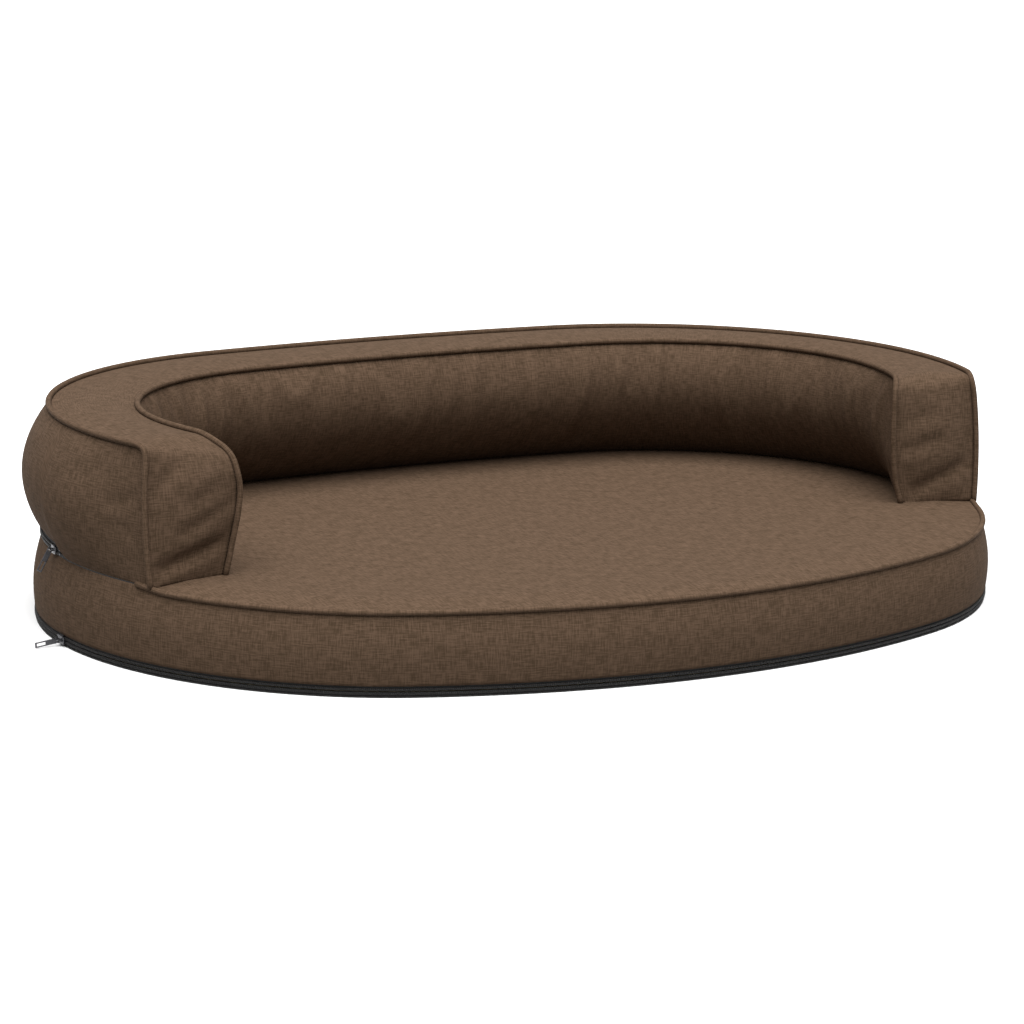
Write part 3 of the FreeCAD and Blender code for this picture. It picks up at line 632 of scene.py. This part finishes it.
# Pipings: a bias strip of the cover's cloth, folded round a cord and sewn into the seams it stiffens.
# The bolster's two run along its top and turn down its ends; the base's shows along the step-in edge.
def strand(bm, path, radius, sides):
    """Round tube along a path, with its two ends closed."""
    cloth = bm.loops.layers.uv.get("UVMap") or bm.loops.layers.uv.new("UVMap")
    up, far, rings = Vector((0, 0, 1)), 0.0, []
    for i, point in enumerate(path):
        before, after = path[max(i - 1, 0)], path[min(i + 1, len(path) - 1)]
        heading = (after - before).normalized()
        up = (up - heading * up.dot(heading)).normalized()
        across = heading.cross(up)
        far += (point - before).length
        ring = []
        for k in range(sides):
            angle = 2 * math.pi * k / sides
            ring.append(bm.verts.new(point + (up * math.cos(angle) + across * math.sin(angle)) * radius))
        rings.append((ring, far))
    for (first, start), (second, end) in zip(rings, rings[1:]):
        for k in range(sides):
            beside = (k + 1) % sides
            face = bm.faces.new((first[k], first[beside], second[beside], second[k]))
            face.smooth = True
            for corner, (u, v) in zip(face.loops, ((start, k), (start, k + 1), (end, k + 1), (end, k))):
                corner[cloth].uv = (u, v * 2 * math.pi * radius / sides)
    bm.faces.new(rings[0][0][::-1])
    bm.faces.new(rings[-1][0])


def smoothed(path, passes=3):
    """Path with its kinks eased, its two ends kept."""
    for _ in range(passes):
        inner = [(a + b * 2 + c) / 4 for a, b, c in zip(path, path[1:], path[2:])]
        path = [path[0], *inner, path[-1]]
    return path


def edge_path(panel, row, outward):
    """Path of a bolster seam: up the left end, along the top and down the right end, proud of the cloth."""
    lift = 0.0021 * 0.7  # outwards, and as much again forwards or upwards
    path = []
    rows = range(WALL_ROWS) if row == WALL_ROWS else range(WALL_ROWS, 0, -1)
    for r in rows:
        path.append(panel(0, r)[0] + Vector((-outward, -1, 0)) * lift)
    for c in range(LONG + 1):
        spot, (run, _) = panel(c, row)
        _, _, normal = plan(run)
        path.append(spot + (normal * outward + Vector((0, 0, 1))) * lift)
    for r in reversed(rows):
        path.append(panel(LONG, r)[0] + Vector((outward, -1, 0)) * lift)
    return smoothed(path)


def piped(name, path, cord_name, nodes):
    """Cloth-covered piping 5 mm thick, and the 3 mm cord inside it."""
    for label, radius, sides, material, slot, node in (
        (name, 0.0025, 12, cover_cloth, "piping_cloth", nodes[0]),
        (cord_name, 0.0015, 8, cord_cotton, "piping_cord", nodes[1]),
    ):
        bm = bmesh.new()
        strand(bm, path, radius, sides)
        piece = finish_mesh(bm, label, material, merge=1e-6)
        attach(piece, "bed")
        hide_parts(node)


def plain_yarn(name, colour, pitch):
    """Matt twisted yarn of one colour, with strands a pitch apart as a fine relief that catches the light."""
    material, tree, shader = new_finish(name)
    cloth = add_node(tree, "ShaderNodeUVMap", {"uv_map": "UVMap"}).outputs[0]
    slant = {"bands_direction": "DIAGONAL"}
    strands = add_node(tree, "ShaderNodeTexWave", slant, Vector=cloth, Scale=0.31 / pitch).outputs["Fac"]
    tone = add_node(tree, "ShaderNodeTexNoise", Vector=cloth, Scale=400.0).outputs[0]
    dark = [c * 0.6 for c in linear(colour)[:3]] + [1]
    mixed = add_node(
        tree, "ShaderNodeMix", {"data_type": "RGBA"}, Factor=tone, i6=dark, i7=linear(colour)
    ).outputs[2]
    tree.links.new(mixed, shader.inputs["Base Color"])
    shader.inputs["Roughness"].default_value = 0.85
    bump = add_node(tree, "ShaderNodeBump", Strength=0.5, Distance=0.0003, Height=strands)
    tree.links.new(bump.outputs[0], shader.inputs["Normal"])
    return material


cord_cotton = plain_yarn("white_cotton_cord", "d8d2c4", 0.0016)
outer_path = edge_path(outer_panel, WALL_ROWS, 1)
inner_path = edge_path(inner_panel, 0, -1)
piped("outer_piping", outer_path, "outer_piping_core", ("bolster_outer_piping", "bolster_outer_piping_cord"))
piped("inner_piping", inner_path, "inner_piping_core", ("bolster_inner_piping", "bolster_inner_piping_cord"))


def round_run(run):
    """A run that has passed the middle of the front, measured from the other side."""
    return run if run <= half_round else run - 2 * half_round


free_run = run_to_end(seam_inset) - 0.002
FRONT_STEPS, OUTWARD, UPWARD = 240, 0.0008, Vector((0, 0, 0.0005))
front_path = []
for k in range(FRONT_STEPS + 1):
    run = round_run(free_run + (2 * half_round - 2 * free_run) * k / FRONT_STEPS)
    x, y, normal = plan(run, seam_inset)
    front_path.append(Vector((x, y, edge_height(run))) + normal * OUTWARD + UPWARD)
piped("front_piping", front_path, "front_piping_core", ("front_edge_piping", "front_edge_piping_cord"))


# Zips: two rows of nylon coil on woven tapes. The upper one joins the bolster's cover to the base, and the
# lower one lets the foam out. Each has a metal slider with a flat pull, and two metal stops.
# The coil's nylon is smooth enough to glint, and a little greyer where it has been handled.
nylon, nylon_tree, nylon_shader = new_finish("black_nylon_coil")
nylon_place = add_node(nylon_tree, "ShaderNodeTexCoord").outputs["Object"]
grime = add_node(nylon_tree, "ShaderNodeTexNoise", Vector=nylon_place, Scale=300.0, Detail=3.0).outputs[0]
nylon_tone = add_node(
    nylon_tree, "ShaderNodeMix", {"data_type": "RGBA"}, Factor=grime, i6=linear("0c0b0b"), i7=linear("1d1b1a")
)
nylon_tree.links.new(nylon_tone.outputs[2], nylon_shader.inputs["Base Color"])
nylon_shader.inputs["Roughness"].default_value = 0.42
tape_weave = plain_yarn("black_woven_zip_tape", "0f0e0e", 0.0009)


def ribbon(name, run_range, inset, heights, node):
    """Woven tape on edge along the outline, as a closed strip."""
    bm = bmesh.new()
    start, end = run_range
    steps, thickness = 300, 0.0008
    around = [(0, 0), (0, 1), (1, 1), (1, 0), (0, 0)]

    def place(c, r):
        run = start + (end - start) * c / steps
        deep, high = around[r]
        x, y, _ = plan(round_run(run), inset + thickness * deep)
        return (x, y, heights[high]), (run, heights[high])

    grid(bm, steps, 4, place, 0)
    bmesh.ops.remove_doubles(bm, verts=bm.verts, dist=SEAM_MERGE)
    ends = [edge for edge in bm.edges if edge.is_boundary]
    if ends:
        bmesh.ops.holes_fill(bm, edges=ends, sides=0)
    for face in bm.faces:
        face.smooth = False
    piece = finish_mesh(bm, name, tape_weave)
    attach(piece, "bed")
    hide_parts(node)


def coil_row(name, run_range, inset, height, node, phase):
    """One row of teeth: a nylon filament wound into a flat helix along the tape."""
    start, end = run_range
    pitch, per_turn, half_deep, half_high, filament, sides = 0.0016, 6, 0.0006, 0.0010, 0.0003, 4
    turns = int((end - start) / pitch)
    path = []
    for k in range(turns * per_turn + 1):
        run = start + (end - start) * k / (turns * per_turn)
        angle = 2 * math.pi * k / per_turn + phase
        x, y, _ = plan(round_run(run), inset + half_deep * math.cos(angle))
        path.append(Vector((x, y, height + half_high * math.sin(angle))))
    bm = bmesh.new()
    strand(bm, path, filament, sides)
    piece = finish_mesh(bm, name, nylon, merge=1e-7)
    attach(piece, "bed")
    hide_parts(node)


last = run_to_end(seam_inset) - 0.003
low_zip = joints["lower_slider_travel"]["pos_m"][2]
low_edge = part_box("lower_zip_tape_lower")[0][2]
low_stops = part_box("lower_zip_stops")
low_stop_place = run_of((Vector(low_stops[0]) + Vector(low_stops[1])) / 2)
FROM_STOP, BETWEEN_TAPES, ROW_OFFSET, ROW_PROUD = 0.002, 0.0007, 0.0016, 0.0011
up_run, low_run = (-last, last), (-half_round, half_round)
up_teeth = (stop_place + FROM_STOP, last)
low_teeth = (low_stop_place + FROM_STOP, low_stop_place - FROM_STOP + 2 * half_round)
up_edges, low_edges = (zip_height - 0.0052, zip_height + 0.0045), (low_edge, band_foot + 0.0006)
for zip_name, height, inset, tape_run, (foot, top), teeth in (
    ("upper", zip_height, seam_inset, up_run, up_edges, up_teeth),
    ("lower", low_zip, 0.002, low_run, low_edges, low_teeth),
):
    node_name, proud = f"{zip_name}_zip", inset - ROW_PROUD
    ribbon(f"{zip_name}_tape_low", tape_run, inset, (foot, height - BETWEEN_TAPES), f"{node_name}_tape_lower")
    ribbon(f"{zip_name}_tape_high", tape_run, inset, (height + BETWEEN_TAPES, top), f"{node_name}_tape_upper")
    coil_row(f"{zip_name}_coil_low", teeth, proud, height - ROW_OFFSET, f"{node_name}_coil_lower", 0)
    coil_row(f"{zip_name}_coil_high", teeth, proud, height + ROW_OFFSET, f"{node_name}_coil_upper", math.pi)

# The zinc castings are plated dark grey, and rubbed brighter and smoother in spots.
gunmetal, metal_tree, metal_shader = new_finish("gunmetal_plated_zinc")
metal_shader.inputs["Metallic"].default_value = 0.9
metal_place = add_node(metal_tree, "ShaderNodeTexCoord").outputs["Object"]
rub = add_node(metal_tree, "ShaderNodeTexNoise", Vector=metal_place, Scale=600.0, Detail=4.0).outputs[0]
metal_tone = add_node(
    metal_tree, "ShaderNodeMix", {"data_type": "RGBA"}, Factor=rub, i6=linear("3a3a3c"), i7=linear("6c6c70")
)
metal_tree.links.new(metal_tone.outputs[2], metal_shader.inputs["Base Color"])
shine = add_node(metal_tree, "ShaderNodeMapRange", Value=rub, i3=0.25, i4=0.5)
metal_tree.links.new(shine.outputs[0], metal_shader.inputs["Roughness"])


def block(low, high, taper=1.0):
    """Box with bevelled edges. A taper narrows the end at the front of the slider."""
    low, high = Vector(low), Vector(high)
    bpy.ops.mesh.primitive_cube_add(size=1, location=(low + high) / 2, scale=high - low)
    piece = bpy.context.object
    bpy.ops.object.transform_apply(location=True, rotation=True, scale=True)
    middle = (low.z + high.z) / 2
    for vertex in piece.data.vertices:
        if vertex.co.y > (low.y + high.y) / 2:
            vertex.co.z = middle + (vertex.co.z - middle) * taper
    bpy.ops.object.mode_set(mode="EDIT")
    bpy.ops.mesh.select_all(action="SELECT")
    bevel_share = 0.28
    bpy.ops.mesh.bevel(offset=min(high - low) * bevel_share, segments=2, affect="EDGES")
    bpy.ops.object.mode_set(mode="OBJECT")
    return piece


def joined(name, parts, spin, spot, node, body):
    """Join blocks into one metal piece and turn it to its place on the side arc."""
    bpy.ops.object.select_all(action="DESELECT")
    for part in parts:
        part.select_set(True)
    bpy.context.view_layer.objects.active = parts[0]
    if len(parts) > 1:
        bpy.ops.object.join()
    piece = bpy.context.object
    piece.name = name
    piece.data.transform(Matrix.Translation(spot) @ Matrix.Rotation(spin, 4, "Z"))
    piece.data.materials.clear()
    piece.data.materials.append(gunmetal)
    for face in piece.data.polygons:
        face.use_smooth = False
    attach(piece, body)
    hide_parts(node)


def slider_parts(bridge):
    """Two plates that narrow to the front, the post between them, the bridge on its legs, and two lips."""
    outer, inner = bridge - 0.0039, bridge - 0.0075
    half_long, half_wide, half_thin, plate, narrowed = 0.0055, 0.0040, 0.0006, 0.0012, 0.78
    sunk = 0.0003  # how far the smaller pieces run into the plates
    post_back, post_front, half_post = half_long - 0.0026, half_long - 0.0004, 0.00025
    half_bar, bar_reach, leg, leg_top = 0.0005, 0.0040, 0.0011, bridge + 0.0004
    lip, lip_depth, lip_front = 0.0007, 0.0013, half_long - 0.004
    parts = [
        block((outer, -half_long, -half_wide), (outer + plate, half_long, half_wide), narrowed),
        block((inner - plate, -half_long, -half_wide), (inner, half_long, half_wide), narrowed),
        block((inner - sunk, post_back, -half_post), (outer + sunk, post_front, half_post)),
        block((bridge - half_bar, -bar_reach, -half_thin), (bridge + half_bar, bar_reach, half_thin)),
    ]
    for low, high in ((-bar_reach, leg - bar_reach), (bar_reach - leg, bar_reach)):
        parts.append(block((outer + plate - sunk, low, -half_thin), (leg_top, high, half_thin)))
    for low, high in ((-half_wide, lip - half_wide), (half_wide - lip, half_wide)):
        parts.append(block((outer - lip_depth, sunk - half_long, low), (outer + sunk, lip_front, high)))
    return parts


def pull_tab():
    """Flat tab with a round eye for the bridge and a long window, hanging from its eye at the origin."""
    rim, eye, half_thin, length = 0.0023, 0.0014, 0.0005, 0.0205
    window_middle, window_length, window_width, through = 0.015, 0.008, 0.0026, 0.004
    upright = (math.pi / 2, 0, 0)
    bpy.ops.mesh.primitive_cylinder_add(vertices=32, radius=rim, depth=2 * half_thin, rotation=upright)
    bpy.ops.object.transform_apply(location=True, rotation=True, scale=True)
    pull = bpy.context.object
    tab = block((0.0010, -half_thin, -rim), (length, half_thin, rim))
    bpy.ops.mesh.primitive_cylinder_add(vertices=24, radius=eye, depth=through, rotation=upright)
    eye_cutter = bpy.context.object
    window = (window_length, through, window_width)
    bpy.ops.mesh.primitive_cube_add(size=1, location=(window_middle, 0, 0), scale=window)
    window_cutter = bpy.context.object
    for operation, tool in (("UNION", tab), ("DIFFERENCE", eye_cutter), ("DIFFERENCE", window_cutter)):
        shaping = pull.modifiers.new("shaping", "BOOLEAN")
        shaping.operation, shaping.object = operation, tool
        with bpy.context.temp_override(object=pull, active_object=pull, selected_objects=[pull]):
            bpy.ops.object.modifier_apply(modifier=shaping.name)
    for tool in (tab, eye_cutter, window_cutter):
        bpy.data.objects.remove(tool)
    edges = pull.modifiers.new("edges", "BEVEL")
    edges.width, edges.segments, edges.limit_method = 0.00018, 2, "ANGLE"
    with bpy.context.temp_override(object=pull, active_object=pull, selected_objects=[pull]):
        bpy.ops.object.modifier_apply(modifier=edges.name)
    return pull


def zip_metal(zip_name, hang):
    """Slider, pull and stops of a zip, made at the origin and turned about the side arc's centre.

    The pull rests at an angle below level, in degrees.
    """
    pivot = Vector(joints[f"{zip_name}_pull_swing"]["pos_m"])
    centre = Vector((-side_x, side_y, pivot.z))
    bridge = (pivot - centre).length
    spin = math.atan2(pivot.y - centre.y, pivot.x - centre.x)
    slider = slider_parts(bridge)
    joined(f"{zip_name}_slider", slider, spin, centre, f"{zip_name}_zip_slider", f"{zip_name}_slider")

    pull = pull_tab()
    pull.data.transform(Matrix.Translation((bridge, 0, 0)) @ Matrix.Rotation(math.radians(hang), 4, "Y"))
    joined(f"{zip_name}_pull", [pull], spin, centre, f"{zip_name}_zip_pull", f"{zip_name}_pull")

    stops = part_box(f"{zip_name}_zip_stops")
    mark = (Vector(stops[0]) + Vector(stops[1])) / 2 - centre
    far, turn = math.hypot(mark.y, mark.x), math.atan2(mark.y, mark.x)
    half_stop, half_length_of_stop = 0.001, 0.0012
    pair = []
    for height in (-ROW_OFFSET, ROW_OFFSET):
        low = (far - half_stop, -half_length_of_stop, height - half_stop)
        pair.append(block(low, (far + half_stop, half_length_of_stop, height + half_stop)))
    joined(f"{zip_name}_stop_pair", pair, turn, centre, f"{zip_name}_zip_stops", "bed")


zip_metal("upper", 62)
zip_metal("lower", 7)


# Underside and foam: a black non-slip cloth with small rubber dots, sewn to the foot of the band, and a pale
# open-cell foam slab that lies loose in the cover. The dots shine a little on the dull felt, 8 mm apart.
anti_slip, slip_tree, slip_shader = new_finish("black_nonwoven_with_rubber_dots")
slip_place = add_node(slip_tree, "ShaderNodeTexCoord").outputs["Object"]
dots = add_node(slip_tree, "ShaderNodeTexVoronoi", Vector=slip_place, Scale=125.0, Randomness=0.0)
from_dot = dots.outputs["Distance"]
dot = add_node(
    slip_tree, "ShaderNodeMapRange", Value=from_dot, From_Min=0.22, From_Max=0.28, i3=1.0, i4=0.0
).outputs[0]
fibres = add_node(slip_tree, "ShaderNodeTexNoise", Vector=slip_place, Scale=900.0, Detail=4.0).outputs[0]
felt = add_node(
    slip_tree, "ShaderNodeMix", {"data_type": "RGBA"}, Factor=fibres, i6=linear("121212"), i7=linear("2b2a29")
).outputs[2]
dotted = add_node(slip_tree, "ShaderNodeMix", {"data_type": "RGBA"}, Factor=dot, i6=felt, i7=linear("0d0d0d"))
slip_tree.links.new(dotted.outputs[2], slip_shader.inputs["Base Color"])
gloss = add_node(slip_tree, "ShaderNodeMapRange", Value=dot, i3=0.95, i4=0.5).outputs[0]
slip_tree.links.new(gloss, slip_shader.inputs["Roughness"])
raised = add_node(
    slip_tree, "ShaderNodeMath", {"operation": "MULTIPLY_ADD"}, i0=fibres, i1=0.2, i2=dot
).outputs[0]
slip_bump = add_node(slip_tree, "ShaderNodeBump", Strength=0.6, Distance=0.0006, Height=raised)
slip_tree.links.new(slip_bump.outputs[0], slip_shader.inputs["Normal"])

# The foam is cream and dull, pitted with cells. Towards each cell's centre the cream is darkened as painted
# shade in the pit, and it is paler at the cell walls.
foam, foam_tree, foam_shader = new_finish("cream_open_cell_foam")
foam_place = add_node(foam_tree, "ShaderNodeTexCoord").outputs["Object"]
cells = add_node(foam_tree, "ShaderNodeTexVoronoi", Vector=foam_place, Scale=1400.0).outputs["Distance"]
# Mix by distance from each cell's centre: painted shade in the pits, plain cream at the walls.
foam_cream_and_pit_shade = add_node(
    foam_tree, "ShaderNodeMix", {"data_type": "RGBA"}, Factor=cells, i6=linear("cdbf9d"), i7=linear("ece2c8")
)
foam_tree.links.new(foam_cream_and_pit_shade.outputs[2], foam_shader.inputs["Base Color"])
foam_shader.inputs["Roughness"].default_value = 0.95
foam_bump = add_node(foam_tree, "ShaderNodeBump", Strength=0.5, Distance=0.0005, Height=cells)
foam_tree.links.new(foam_bump.outputs[0], foam_shader.inputs["Normal"])
for node_name, material in (("base_underside_panel", anti_slip), ("base_foam_core", foam)):
    node = frame["nodes"][node_name]
    for index in range(max(1, len(node.material_slots))):
        if not node.material_slots:
            node.data.materials.append(material)
        node.material_slots[index].material = material
